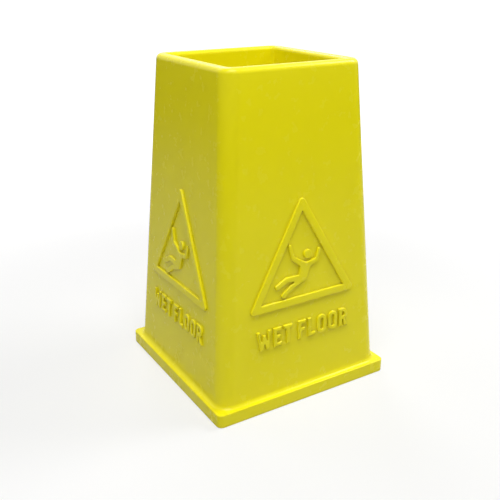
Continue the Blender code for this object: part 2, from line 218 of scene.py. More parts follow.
# A profile for the loft, as a row of joined points.
def pointRow(points):
    mesh = bpy.data.meshes.new("profile")
    mesh.from_pydata(points, [(i, i + 1) for i in range(len(points) - 1)], [])
    return mesh


# Makes the finished piece: at the origin, faces outwards, smooth but for its sharp edges.
def finishPiece(name, mesh, material, nodes, sharp=shading["sharpAngle"]):
    shape = bmesh.new()
    shape.from_mesh(mesh)
    bmesh.ops.remove_doubles(shape, verts=shape.verts, dist=shading["weld"])
    bmesh.ops.dissolve_degenerate(shape, edges=shape.edges, dist=shading["shortestEdge"])
    bmesh.ops.recalc_face_normals(shape, faces=shape.faces)
    shape.to_mesh(mesh)
    shape.free()
    mesh.shade_smooth()
    mesh.set_sharp_from_angle(angle=radians(sharp))
    mesh.materials.clear()
    mesh.materials.append(material)
    piece = bpy.data.objects.new(name, mesh)
    scene.collection.objects.link(piece)
    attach(piece, "root")
    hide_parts(*nodes)


# Points along an arc, from one angle to another.
def arc(centre, radius, start, end, steps):
    angles = [start + (end - start) * i / steps for i in range(steps + 1)]
    return [(centre[0] + radius * cos(a), centre[1] + radius * sin(a)) for a in angles]


# Rounds each corner of a closed outline. An item is (x, y, radius, ...), and what follows the
# radius is passed on to every point that the corner becomes.
def roundOff(outline, degreesPerStep=shading["degreesPerStep"]):
    made = []
    for i, (x, y, radius, *rest) in enumerate(outline):
        corner = Vector((x, y))
        before = (Vector(outline[i - 1][:2]) - corner).normalized()
        after = (Vector(outline[(i + 1) % len(outline)][:2]) - corner).normalized()
        bend = pi - before.angle(after)
        if not radius or bend < radians(degreesPerStep):
            made.append((x, y, *rest))
            continue
        reach = radius * tan(bend / 2)
        centre = corner + (before + after).normalized() * radius / cos(bend / 2)
        start = corner + before * reach - centre
        turn = -start.angle_signed(corner + after * reach - centre)
        steps = max(2, round(abs(turn) / radians(degreesPerStep)))
        for step in range(steps + 1):
            spot = centre + Matrix.Rotation(turn * step / steps, 2) @ start
            made.append((spot.x, spot.y, *rest))
    return made


# Puts a point close to both ends of every long straight run, which keeps flat faces flat
# when they are shaded smooth beside a rounded edge.
def supportRuns(points):
    made = []
    margin = shading["runSupport"]
    for i, point in enumerate(points):
        made.append(point)
        onward = points[(i + 1) % len(points)]
        run = Vector(onward[:2]) - Vector(point[:2])
        if run.length > shading["longRun"]:
            inward = run.normalized() * margin
            made.append((*(Vector(point[:2]) + inward), *point[2:]))
            made.append((*(Vector(onward[:2]) - inward), *onward[2:]))
    return made


towerLow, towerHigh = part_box("tower_shell")
tower = {
    "height": towerHigh[2],
    "flangeHalf": towerHigh[0],
    "floorGap": towerLow[2],
    "overhang": 9 * mm,  # of the flange, past the wall's foot
    "topHalf": 112.65 * mm,
    "flangeHeight": 21 * mm,
    "wall": 3 * mm,
    "cornerRound": 23 * mm,
    "flangeCornerRound": 9.4 * mm,
    "flangeEdgeRound": 1.2 * mm,
    "flangeFillet": 6.5 * mm,
    "rimOuterRound": 8 * mm,
    "rimFlat": 3.3 * mm,
    "rimInnerRound": 6 * mm,
    "hemDepth": 62 * mm,
    "hemDraft": radians(1.5),  # the hem faces a little upwards
    "hemEndRound": 1.3 * mm,
    "easedEdge": 0.6 * mm,
    "cornerSteps": 28,
    "bossRadius": 6 * mm,
    "bossEndWall": 3 * mm,
    "bossEdge": 0.5 * mm,
    "bossRoot": 0.3 * mm,  # how far above the flange plate's underside a boss starts
    "screwGap": 0.3 * mm,
}
footHalf = tower["flangeHalf"] - tower["overhang"]
slope = (footHalf - tower["topHalf"]) / (tower["height"] - tower["flangeHeight"])
taper = atan(slope)


# Half the tower's outer width at a height.
def towerHalf(z):
    return footHalf - slope * (z - tower["flangeHeight"])


# Half the width of the mouth at a height: the face of the hem that hangs inside the rim.
def hemHalf(z):
    outer, inner, draft = tower["rimOuterRound"], tower["rimInnerRound"], tower["hemDraft"]
    crest = towerHalf(tower["height"] - outer * (1 - sin(taper))) - outer * cos(taper) - tower["rimFlat"]
    touch = tower["height"] - inner * (1 - sin(draft))
    return crest - inner * cos(draft) + tan(draft) * (z - touch)


# The wall's section as a closed outline of (half width, height, radius, part of the tower).
def towerSection():
    t = tower
    top, flangeTop, wall = t["height"], t["flangeHeight"], t["wall"]
    skin, hemSkin = wall / cos(taper), wall / cos(t["hemDraft"])
    hemEnd = top - t["hemDepth"]
    plate = flangeTop - wall
    inFoot = t["flangeHalf"] - wall
    eased = t["easedEdge"]
    return [
        (t["flangeHalf"], t["floorGap"], eased, "flange"),
        (t["flangeHalf"], flangeTop, t["flangeEdgeRound"], "flange"),
        (footHalf, flangeTop, t["flangeFillet"], "wall"),
        (towerHalf(top), top, t["rimOuterRound"], "wall"),
        (hemHalf(top), top, t["rimInnerRound"], "hem"),
        (hemHalf(hemEnd), hemEnd, t["hemEndRound"], "hem"),
        (hemHalf(hemEnd) + hemSkin, hemEnd, t["hemEndRound"], "hem"),
        (hemHalf(top - wall) + hemSkin, top - wall, t["rimInnerRound"] - wall, "hem"),
        (towerHalf(top - wall) - skin, top - wall, t["rimOuterRound"] - wall, "wall"),
        (towerHalf(plate) - skin, plate, eased, "wall"),
        (inFoot, plate, eased, "flange"),
        (inFoot, t["floorGap"], eased, "flange"),
    ]


# The section's points with the rounding of the square at each, as the loft wants them.
def towerProfile():
    made = []
    atRim = towerHalf(tower["height"])
    for half, z, where in supportRuns(roundOff(towerSection())):
        if where == "flange":
            corner = tower["flangeCornerRound"] - (tower["flangeHalf"] - half)
        elif where == "hem":
            corner = tower["cornerRound"] - (atRim - hemHalf(tower["height"])) + half - hemHalf(z)
        else:
            corner = tower["cornerRound"] - (towerHalf(z) - half)
        made.append((half, corner, z))
    return made


# Lofts a profile of (half width, corner radius, height).
def loft(profile, material, steps, support=0.0):
    settings = {"Corner Steps": steps, "Edge Support": support, "Material": material}
    return grow(pointRow(profile), squareLoft, settings)


# A turned solid, given as (radius, height) from the lower end of its axis to the upper.
def turned(outline, material, steps=12):
    rows = [(0, 0, outline[0][1])] + [(r, r, z) for r, z in outline] + [(0, 0, outline[-1][1])]
    return loft(rows, material, steps)


# The first copy stands at the reach from the axis, in the direction of the first turn.
def onFourSides(mesh, reach, firstTurn, material):
    return grow(mesh, fourSides, {"Reach": reach, "First Turn": firstTurn, "Material": material})


def makeTower(material):
    mesh = loft(towerProfile(), material, tower["cornerSteps"], shading["cornerSupport"])
    low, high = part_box("ring_screw_right")
    line, tip = (low[0] + high[0]) / 2, high[2]
    root = tower["flangeHeight"] - tower["wall"] + tower["bossRoot"]
    radius, bore = tower["bossRadius"], screw["shankRadius"] + tower["screwGap"]
    top = tip + tower["screwGap"] + tower["bossEndWall"]
    eased = tower["bossEdge"]
    boss = turned([(radius, root), (radius, top - eased), (radius - eased, top)], material, steps=8)
    pilot = turned([(bore, root - cutterSpare), (bore, tip + tower["screwGap"])], material, steps=6)
    mesh = combine(mesh, onFourSides(boss, line, 0.0, material), "UNION")
    mesh = combine(mesh, onFourSides(pilot, line, 0.0, material), "DIFFERENCE")
    finishPiece("towerMoulding", mesh, material, ["tower_shell"])
    print("tower moulding made,", len(mesh.polygons), "faces")


mark = {
    "height": 3.5 * mm,
    "edgeRound": 1.6 * mm,
    "footFillet": 0.35 * mm,  # where the mark runs into the wall
    "filletSteps": 5,
    "shoulderSteps": 7,
    "buried": 0.4 * mm,  # how far it starts below the wall's face
    "cornerEase": 0.5 * mm,
}
triangle = {
    "innerSide": 149 * mm,
    "band": 12 * mm,
    "cornerRound": 5.6 * mm,
    "innerCornerRound": 0.8 * mm,
    "innerDegreesPerStep": 20,
    "innerBase": 170 * mm,
}
figure = {
    "headCentre": (8.7 * mm, 232.4 * mm),
    "headRadius": 7 * mm,
    "headSteps": 48,
    # (x, y, corner radius) in millimetres, anticlockwise from the left hand
    "body": [
        (-25.4, 251.0, 2.4), (-19.8, 228.6, 4), (-5.2, 216.0, 2), (-7.4, 203.2, 2), (-29.5, 203.8, 8),
        (-50.4, 193.6, 3.4), (-46.8, 186.2, 3.4), (-28.0, 195.4, 6), (-12.0, 194.6, 1.4), (-23.4, 189.8, 6),
        (-40.6, 177.6, 3.2), (-35.6, 171.6, 3.2), (-17.6, 184.4, 6), (5.8, 193.2, 5), (12.6, 213.0, 2),
        (27.0, 217.4, 4), (32.2, 237.4, 2.2), (27.2, 239.4, 2.2), (22.8, 223.6, 2.6), (6.0, 220.4, 5),
        (-14.6, 232.2, 2.6), (-20.2, 252.8, 2.4),
    ],
}
lettering = {
    "words": "WET FLOOR",
    "base": 100 * mm,
    "height": 30 * mm,
    "stroke": 6 * mm,
    "gap": 3.4 * mm,
    "wordGap": 10 * mm,
    "widths": {"W": 25, "E": 14.5, "T": 16, "F": 14.5, "L": 14, "O": 17.5, "R": 16.5},  # millimetres
    "bendSteps": 20,  # round half an O
    # the W's underside on the left and its upper side on the right, as shares of width and height
    "wUnderside": [(0, 1), (0.17, 0), (0.4, 0), (0.5, 0.36)],
    "wNotch": [(0.59, 0.78), (0.7, 0.4), (0.77, 1)],
    "rWaist": 0.38,  # the underside of the R's bowl, as a share of the height
    "rLegRoot": 0.46,  # where its leg leaves the bowl, as a share of the width
    "rLeg": (1.1, 0.1),  # the leg's foot, in strokes inside and outside the width
    "rBowlEnd": 0.36 * pi,  # how far below level the bowl's outside runs
}


# Moves a closed outline inwards by a distance, or outwards if it is negative.
def inset(points, distance):
    made = []
    for i, point in enumerate(points):
        along = (point - points[i - 1]).normalized()
        onward = (points[(i + 1) % len(points)] - point).normalized()
        left = Vector((-along.y - onward.y, along.x + onward.x)) / 2
        made.append(point + left * distance / left.length_squared)
    return made


# How a mark's side rises: (inset, height), from under the wall's face, up a small hollow
# fillet and over a rounded shoulder.
def markSide():
    fillet, shoulder, top = mark["footFillet"], mark["edgeRound"], mark["height"]
    hollow = arc((-fillet, fillet), fillet, -pi / 2, 0, mark["filletSteps"])
    crown = arc((shoulder, top - shoulder), shoulder, pi, pi / 2, mark["shoulderSteps"])
    return [(-fillet, -mark["buried"])] + hollow + crown


# Builds a mark lying on the floor, then stands it on the front wall. The outline runs
# anticlockwise and its holes clockwise.
def raisedMark(outline, holes=(), shift=(0, 0)):
    shape = bmesh.new()
    backs, fronts = [], []
    for loop in (outline, *holes):
        points = [Vector(p[:2]) for p in loop]
        rings = [[shape.verts.new((*p, z)) for p in inset(points, step)] for step, z in markSide()]
        for lower, upper in zip(rings, rings[1:]):
            for i in range(len(lower)):
                j = (i + 1) % len(lower)
                shape.faces.new((lower[i], lower[j], upper[j], upper[i]))
        backs.append(rings[0])
        fronts.append(rings[-1])
    for cap in (backs, fronts):
        flat = [v for ring in cap for v in ring]
        for corners in tessellate_polygon([[v.co for v in ring] for ring in cap]):
            shape.faces.new([flat[i] for i in corners])
    bmesh.ops.recalc_face_normals(shape, faces=shape.faces)
    upright = Matrix.Translation((0, -towerHalf(0), 0)) @ Matrix.Rotation(pi / 2 - taper, 4, "X")
    shape.transform(upright @ Matrix.Translation((*shift, 0)))
    mesh = bpy.data.meshes.new("mark")
    shape.to_mesh(mesh)
    shape.free()
    return mesh


# An equilateral band, given by the triangle that it leaves open.
def triangleOutline():
    side, band, low = triangle["innerSide"], triangle["band"], triangle["innerBase"]
    tall, outerHalf = side * sqrt(3) / 2, side / 2 + band * sqrt(3)
    outer = [(-outerHalf, low - band), (outerHalf, low - band), (0, low + tall + 2 * band)]
    inner = [(-side / 2, low), (0, low + tall), (side / 2, low)]
    outer = [(*p, triangle["cornerRound"]) for p in outer]
    inner = [(*p, triangle["innerCornerRound"]) for p in inner]
    return roundOff(outer), [roundOff(inner, triangle["innerDegreesPerStep"])]


# Two half circles joined by straight sides, a margin inside a box.
def straightOval(width, height, margin):
    radius = width / 2 - margin
    steps = lettering["bendSteps"]
    upper = arc((width / 2, height - margin - radius), radius, 0, pi, steps)
    return upper + arc((width / 2, margin + radius), radius, pi, 2 * pi, steps)


# A capital letter's outline and its holes, with its lower left corner at 0, 0.
def letterOutline(letter, w):
    h, s = lettering["height"], lettering["stroke"]
    middle = (h - s) / 2
    short = w - s / 3  # the middle arm's end
    left, right = (w - s) / 2, (w + s) / 2
    arms = [
        (s, middle), (short, middle), (short, middle + s), (s, middle + s),
        (s, h - s), (w, h - s), (w, h), (0, h),
    ]
    plain = {
        "L": [(0, 0), (w, 0), (w, s), (s, s), (s, h), (0, h)],
        "T": [
            (left, 0), (right, 0), (right, h - s), (w, h - s),
            (w, h), (0, h), (0, h - s), (left, h - s),
        ],
        "F": [(0, 0), (s, 0)] + arms,
        "E": [(0, 0), (w, 0), (w, s), (s, s)] + arms,
        "W": letterW(w, h),
    }
    if letter in plain:
        return plain[letter], []
    if letter == "O":
        return straightOval(w, h, 0), [straightOval(w, h, s)[::-1]]
    return letterR(w, h, s)


# Each side of a W is mirrored about its middle, so that it stays even.
def letterW(w, h):
    half, notch = lettering["wUnderside"], lettering["wNotch"]
    lower = half + [(1 - x, y) for x, y in reversed(half[:-1])]
    upper = notch[::-1] + [(1 - x, y) for x, y in notch]
    return [(x * w, y * h) for x, y in lower + upper]


def letterR(w, h, s):
    waist = h * lettering["rWaist"]
    bowl = (h - waist) / 2
    centre = (w - bowl, h - bowl)
    inside, outside = lettering["rLeg"]
    leg = [(w * lettering["rLegRoot"], waist), (w - s * inside, 0), (w + s * outside, 0)]
    back = arc(centre, bowl, -lettering["rBowlEnd"], pi / 2, steps=16)
    hole = arc(centre, bowl - s, -pi / 2, pi / 2, steps=14) + [(s, h - s), (s, waist + s)]
    return [(0, 0), (s, 0), (s, waist)] + leg + back + [(0, h)], [hole[::-1]]


# Puts one mark on all four walls, in place of its four nodes.
def makeMark(name, nodeName, mesh, material):
    nodes = [nodeName.format(face) for face in facing]
    mesh = onFourSides(mesh, 0.0, 0.0, material)
    finishPiece(name, mesh, material, nodes, shading["markSharpAngle"])


def makeMarks(material):
    makeMark("warningTriangles", "warning_triangle_{}", raisedMark(*triangleOutline()), material)
    body = [(x * mm, y * mm, radius * mm) for x, y, radius in figure["body"]]
    makeMark("slipFigureBodies", "slip_figure_body_{}", raisedMark(roundOff(body)), material)
    head = arc(figure["headCentre"], figure["headRadius"], 0, 2 * pi, figure["headSteps"])[:-1]
    makeMark("slipFigureHeads", "slip_figure_head_{}", raisedMark(head), material)
    print("triangles and figures made")


def easeCorners(loop):
    return roundOff([(*p, mark["cornerEase"]) for p in loop], shading["coarseDegreesPerStep"])


# Sets the words on one line, centred on the wall. A space only widens the gap.
def makeLettering(material):
    words, gap = lettering["words"], lettering["gap"]
    widths = [lettering["widths"].get(c, 0) * mm for c in words]
    spaces = [gap if c != " " else lettering["wordGap"] - gap for c in words]
    x = -(sum(widths) + sum(spaces) - gap) / 2
    count = 0
    for letter, width, space in zip(words, widths, spaces):
        if letter != " ":
            count += 1
            outline, holes = letterOutline(letter, width)
            outline, *holes = [easeCorners(loop) for loop in (outline, *holes)]
            mesh = raisedMark(outline, holes, (x, lettering["base"]))
            makeMark(f"letter{count}{letter}", f"letter_{{}}_{count}_{letter.lower()}", mesh, material)
        x += width + space
    print("lettering made,", count, "letters on each wall")


ringLow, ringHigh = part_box("ballast_ring")
ring = {
    "outerHalf": ringHigh[0],
    "low": ringLow[2],
    "high": ringHigh[2],
    "width": 26 * mm,
    "outerRound": 6.1 * mm,
    "innerRound": 10 * mm,
    "edgeRound": 1.2 * mm,
    "cornerSteps": 16,
    "socketGap": 0.3 * mm,
}
foot = {
    "padHeight": 3.2 * mm,
    "stemRadius": 4.5 * mm,
    "edgeRound": 0.8 * mm,
    "grooves": 3,
    "grooveDepth": 0.6 * mm,
    "grooveHalf": 0.45 * mm,
    "grooveTaper": 0.5,  # a groove's width at its floor, as a share of that at its mouth
    "plainRim": 0.6,  # left outside the last groove, as a share of their spacing
}
screw = {
    "shankRadius": 2 * mm,
    "headHeight": 2.4 * mm,
    "socketRadius": 1.5 * mm,
    "socketDepth": 1.4 * mm,
    "edgeRound": 0.3 * mm,
    "crownRadius": 1.9,  # of the head's slightly domed face, in head radii
    "crownSpan": (0.12, 0.4),  # the dome's part that is drawn, in radians from the axis
    "crownSteps": 6,
    "rimHeight": 0.45,  # of the head's upright rim, as a share of the head's height
    "rimDraft": 0.4,  # how far the rim leans in, as a share of its edge's rounding
    "tipShare": 0.3,  # the point's radius, as a share of the shank's
}


# The middle, radius, and lowest and highest points of a node that stands on its own axis.
def axisOf(node):
    low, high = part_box(node)
    middle = ((low[0] + high[0]) / 2, (low[1] + high[1]) / 2)
    return middle, (high[0] - low[0]) / 2, low[2], high[2]


def makeRing(material):
    inner = ring["outerHalf"] - ring["width"]
    edge = ring["edgeRound"]
    section = [
        (ring["outerHalf"], ring["low"], edge, True),
        (ring["outerHalf"], ring["high"], edge, True),
        (inner, ring["high"], edge, False),
        (inner, ring["low"], edge, False),
    ]
    profile = []
    for half, z, outside in supportRuns(roundOff(section, shading["coarseDegreesPerStep"])):
        if outside:
            corner = ring["outerRound"] - (ring["outerHalf"] - half)
        else:
            corner = ring["innerRound"] + half - inner
        profile.append((half, corner, z))
    mesh = loft(profile, material, ring["cornerSteps"], shading["cornerSupport"])

    # sockets for the feet, then stepped holes for the screws
    gap, below = ring["socketGap"], ring["low"] - cutterSpare
    (x, _), padRadius, _, stemTop = axisOf("foot_back_right")
    padSeat = foot["padHeight"] + gap
    socket = [(padRadius + gap, below), (padRadius + gap, padSeat)]
    socket += [(foot["stemRadius"] + gap, padSeat), (foot["stemRadius"] + gap, stemTop + gap)]
    sockets = onFourSides(turned(socket, material), x * sqrt(2), pi / 4, material)
    mesh = combine(mesh, sockets, "DIFFERENCE")
    (x, _), headRadius, headLow, _ = axisOf("ring_screw_right")
    seat = headLow + screw["headHeight"] + gap
    hole = [(headRadius + gap, below), (headRadius + gap, seat)]
    bore = screw["shankRadius"] + gap
    hole += [(bore, seat), (bore, ring["high"] + cutterSpare)]
    mesh = combine(mesh, onFourSides(turned(hole, material), x, 0.0, material), "DIFFERENCE")
    finishPiece("ballastRing", mesh, material, ["ballast_ring"])
    print("ballast ring made")


def makeFeet(material):
    (x, _), radius, low, high = axisOf("foot_back_right")
    pitch = (radius - foot["edgeRound"]) / (foot["grooves"] + foot["plainRim"])
    half, deep = foot["grooveHalf"], low + foot["grooveDepth"]
    narrow = half * foot["grooveTaper"]
    tread = []
    for groove in range(1, foot["grooves"] + 1):
        middle = pitch * groove
        tread += [(middle - half, low), (middle - narrow, deep)]
        tread += [(middle + narrow, deep), (middle + half, low)]
    edge = foot["edgeRound"]
    pad = arc((radius - edge, low + edge), edge, -pi / 2, 0, steps=5)
    padTop, stem = foot["padHeight"], foot["stemRadius"]
    plug = [(radius, padTop), (stem, padTop), (stem, high - edge), (stem - edge, high)]
    mesh = turned(tread + pad + plug, material, steps=14)
    nodes = [f"foot_{corner}" for corner in ("front_right", "back_right", "back_left", "front_left")]
    mesh = onFourSides(mesh, x * sqrt(2), pi / 4, material)
    finishPiece("rubberFeet", mesh, material, nodes)
    print("rubber feet made")


def makeScrews(material):
    (x, _), radius, low, high = axisOf("ring_screw_right")
    seat, edge, shank = low + screw["headHeight"], screw["edgeRound"], screw["shankRadius"]
    crown = radius * screw["crownRadius"]
    start, end = (angle - pi / 2 for angle in screw["crownSpan"])
    rim = seat - screw["headHeight"] * screw["rimHeight"]
    head = arc((0, low + crown), crown, start, end, screw["crownSteps"])
    head += [(radius - edge * screw["rimDraft"], rim), (radius, seat - edge), (radius - edge, seat)]
    tip = [(shank, seat), (shank, high - shank), (shank * screw["tipShare"], high)]
    mesh = turned(head + tip, material, steps=10)

    key = bmesh.new()
    deep = screw["socketDepth"] + cutterSpare
    middle = Matrix.Translation((0, 0, low + screw["socketDepth"] - deep / 2))
    sides = {"radius1": screw["socketRadius"], "radius2": screw["socketRadius"], "segments": 6}
    bmesh.ops.create_cone(key, cap_ends=True, depth=deep, matrix=middle, **sides)
    socket = bpy.data.meshes.new("socket")
    key.to_mesh(socket)
    key.free()
    mesh = combine(mesh, socket, "DIFFERENCE")
    nodes = [f"ring_screw_{face}" for face in facing]
    mesh = onFourSides(mesh, x, 0.0, material)
    finishPiece("ringScrews", mesh, material, nodes)
    print("ring screws made")


weatheringAndPaintedLight = {
    "mottle": {"Scale": 60.0, "Detail": 5.0, "Roughness": 0.6},
    "mottleRange": (0.3, 0.7),  # the mottle where a surface is smoothest and roughest
    "edgeGain": 6.0,  # how soon a bent normal counts as a full edge
    "edgeBreakup": (0.35, 0.65),  # the noise where the lighter edge starts and where it is whole
    "openness": (0.95, 0.35),  # how open a spot is where the painted shade starts and where it is whole
    "upward": (-0.2, 1.0),  # the normal's rise where dust is least and most
    "upwardDust": (0.25, 1.0),  # the share of dust at those
    "dustPatches": (0.3, 0.75),  # the noise where a patch starts and where it is whole
    "dustRoughness": 0.4,  # what full dust adds
}


# Starts a shader group and gives its tree, what it is given and where its results go.
def shaderGroup(name, inputs, outputs):
    tree = bpy.data.node_groups.new(name, "ShaderNodeTree")
    addSockets(tree, "INPUT", inputs)
    addSockets(tree, "OUTPUT", outputs)
    return tree, addStep(tree, "NodeGroupInput").outputs, addStep(tree, "NodeGroupOutput").inputs


def addNoise(tree, where, scale, **settings):
    inputs = {"Vector": where, "Scale": scale, **settings}
    return addStep(tree, "ShaderNodeTexNoise", inputs).outputs[0]


# Turns a range of values into 0 to 1, or into another range.
def addRange(tree, value, span, result=(0.0, 1.0)):
    inputs = {0: value, 1: span[0], 2: span[1], 3: result[0], 4: result[1]}
    return addStep(tree, "ShaderNodeMapRange", inputs).outputs[0]


def multiplyAll(tree, first, second, third):
    return calc(tree, "MULTIPLY", calc(tree, "MULTIPLY", first, second), third, clamp=True)


# Fine grain of a moulded surface, over a slow unevenness: a height for bump, and a mottle
# from 0 to 1 that shifts the colour and the roughness.
def buildGrainGroup():
    tree, given, result = shaderGroup(
        "mouldedGrain",
        [("Grain Scale", "Float", 900.0), ("Wave Scale", "Float", 14.0), ("Wave Share", "Float", 0.6)],
        [("Height", "Float"), ("Mottle", "Float")],
    )
    where = addStep(tree, "ShaderNodeTexCoord").outputs["Object"]
    grain = addNoise(tree, where, given["Grain Scale"], Detail=3.0)
    wave = addNoise(tree, where, given["Wave Scale"], Detail=1.0)
    mottle = addStep(tree, "ShaderNodeTexNoise", {"Vector": where, **weatheringAndPaintedLight["mottle"]})
    both = addStep(tree, "ShaderNodeMix", {0: given["Wave Share"], 2: grain, 3: wave})
    tree.links.new(both.outputs[0], result["Height"])
    tree.links.new(mottle.outputs[0], result["Mottle"])
    return tree


# How much an edge is lightened, from 0 to 1: where a rounded normal leaves the true one, broken up. On the
# yellow plastic this is a painted highlight; on the rubber and the steel the edges are worn.
def buildEdgeGroup():
    tree, given, result = shaderGroup(
        "edgeWearAndSheen",
        [("Width", "Float", 0.8 * mm), ("Breakup Scale", "Float", 220.0), ("Amount", "Float", 0.3)],
        [("Mask", "Float")],
    )
    soft = addStep(tree, "ShaderNodeBevel", {"Radius": given["Width"]}, samples=4).outputs[0]
    true = addStep(tree, "ShaderNodeNewGeometry").outputs["Normal"]
    match = addStep(tree, "ShaderNodeVectorMath", {0: soft, 1: true}, operation="DOT_PRODUCT")
    leaving = calc(tree, "SUBTRACT", 1.0, match.outputs["Value"])
    bent = calc(tree, "MULTIPLY", leaving, weatheringAndPaintedLight["edgeGain"], clamp=True)
    where = addStep(tree, "ShaderNodeTexCoord").outputs["Object"]
    noise = addNoise(tree, where, given["Breakup Scale"], Detail=4.0)
    broken = addRange(tree, noise, weatheringAndPaintedLight["edgeBreakup"])
    tree.links.new(multiplyAll(tree, bent, broken, given["Amount"]), result["Mask"])
    return tree


# How closed in a spot is, from 0 to 1: the foot of a mark, a seam or a hole. This is painted shade: the
# colour is darkened where the ambient occlusion finds little open sky.
def buildCreviceGroup():
    tree, given, result = shaderGroup(
        "paintedCreviceShade",
        [("Width", "Float", 5 * mm), ("Amount", "Float", 0.5)],
        [("Mask", "Float")],
    )
    # painted shade: the ambient occlusion becomes a mask that darkens the colour
    shade = addStep(tree, "ShaderNodeAmbientOcclusion", {"Distance": given["Width"]}, samples=8)
    closed = addRange(tree, shade.outputs["AO"], weatheringAndPaintedLight["openness"])
    tree.links.new(calc(tree, "MULTIPLY", closed, given["Amount"], clamp=True), result["Mask"])
    return tree


# Dust that settles on what faces up and lies low, from 0 to 1.
def buildDustGroup():
    tree, given, result = shaderGroup(
        "settledDust",
        [("Reach", "Float", 30 * mm), ("Patch Scale", "Float", 35.0), ("Amount", "Float", 0.2)],
        [("Mask", "Float")],
    )
    where = addStep(tree, "ShaderNodeTexCoord").outputs["Object"]
    high = addStep(tree, "ShaderNodeSeparateXYZ", {0: where}).outputs[2]
    low = addRange(tree, high, (given["Reach"], 0.0))
    normal = addStep(tree, "ShaderNodeNewGeometry").outputs["Normal"]
    rise = addStep(tree, "ShaderNodeSeparateXYZ", {0: normal}).outputs[2]
    upward = addRange(tree, rise, weatheringAndPaintedLight["upward"], weatheringAndPaintedLight["upwardDust"])
    patch = addNoise(tree, where, given["Patch Scale"], Detail=6.0)
    spread = addRange(tree, patch, weatheringAndPaintedLight["dustPatches"])
    amount = calc(tree, "MULTIPLY", spread, given["Amount"])
    tree.links.new(multiplyAll(tree, low, upward, amount), result["Mask"])
    return tree


# For each finish: "grain" is (grain scale, wave scale, share of the wave), "wearAndSheen" is (width,
# breakup scale, amount) of the lighter edges, "dust" is (reach, patch scale, amount), "paintedShade" is
# (width, amount).
finishes = {
    # the plastic's colour in the crevices is painted shade
    "yellowPlastic": {
        "colour": (0.945, 0.855, 0.003), "tint": (0.955, 0.850, 0.004), "wornAndSheenColour": (0.93, 0.88, 0.10),
        "dustColour": (0.62, 0.58, 0.40), "roughness": (0.22, 0.29), "metallic": 0.0, "specular": 0.3,
        "grain": (900.0, 11.0, 0.75), "bump": 0.10, "bumpDepth": 0.25 * mm,
        "wearAndSheen": (0.9 * mm, 160.0, 0.18), "dust": (30 * mm, 30.0, 0.06),
        "paintedShade": (5 * mm, 0.8), "paintedShadeColour": (0.52, 0.42, 0.002),
    },
    # the colours in the crevices of the rubbers and the steel are painted shade
    "ballastRubber": {
        "colour": (0.020, 0.020, 0.022), "tint": (0.032, 0.031, 0.031), "wornAndSheenColour": (0.07, 0.07, 0.07),
        "dustColour": (0.28, 0.27, 0.25), "roughness": (0.62, 0.82), "metallic": 0.0, "specular": 0.5,
        "grain": (1400.0, 90.0, 0.3), "bump": 0.5, "bumpDepth": 0.3 * mm,
        "wearAndSheen": (1.2 * mm, 120.0, 0.5), "dust": (30 * mm, 45.0, 0.35),
        "paintedShade": (4 * mm, 0.5), "paintedShadeColour": (0.012, 0.011, 0.010),
    },
    "footRubber": {
        "colour": (0.050, 0.050, 0.052), "tint": (0.075, 0.074, 0.072), "wornAndSheenColour": (0.14, 0.14, 0.13),
        "dustColour": (0.30, 0.29, 0.27), "roughness": (0.70, 0.90), "metallic": 0.0, "specular": 0.5,
        "grain": (1800.0, 200.0, 0.3), "bump": 0.6, "bumpDepth": 0.25 * mm,
        "wearAndSheen": (0.6 * mm, 300.0, 0.6), "dust": (12 * mm, 150.0, 0.3),
        "paintedShade": (2 * mm, 0.6), "paintedShadeColour": (0.02, 0.018, 0.015),
    },
    "screwSteel": {
        "colour": (0.56, 0.57, 0.58), "tint": (0.62, 0.60, 0.54), "wornAndSheenColour": (0.75, 0.75, 0.76),
        "dustColour": (0.24, 0.20, 0.16), "roughness": (0.26, 0.42), "metallic": 1.0, "specular": 0.5,
        "grain": (2600.0, 500.0, 0.4), "bump": 0.2, "bumpDepth": 0.1 * mm,
        "wearAndSheen": (0.3 * mm, 600.0, 0.6), "dust": (12 * mm, 300.0, 0.2),
        "paintedShade": (1 * mm, 0.7), "paintedShadeColour": (0.09, 0.07, 0.05),
    },
}


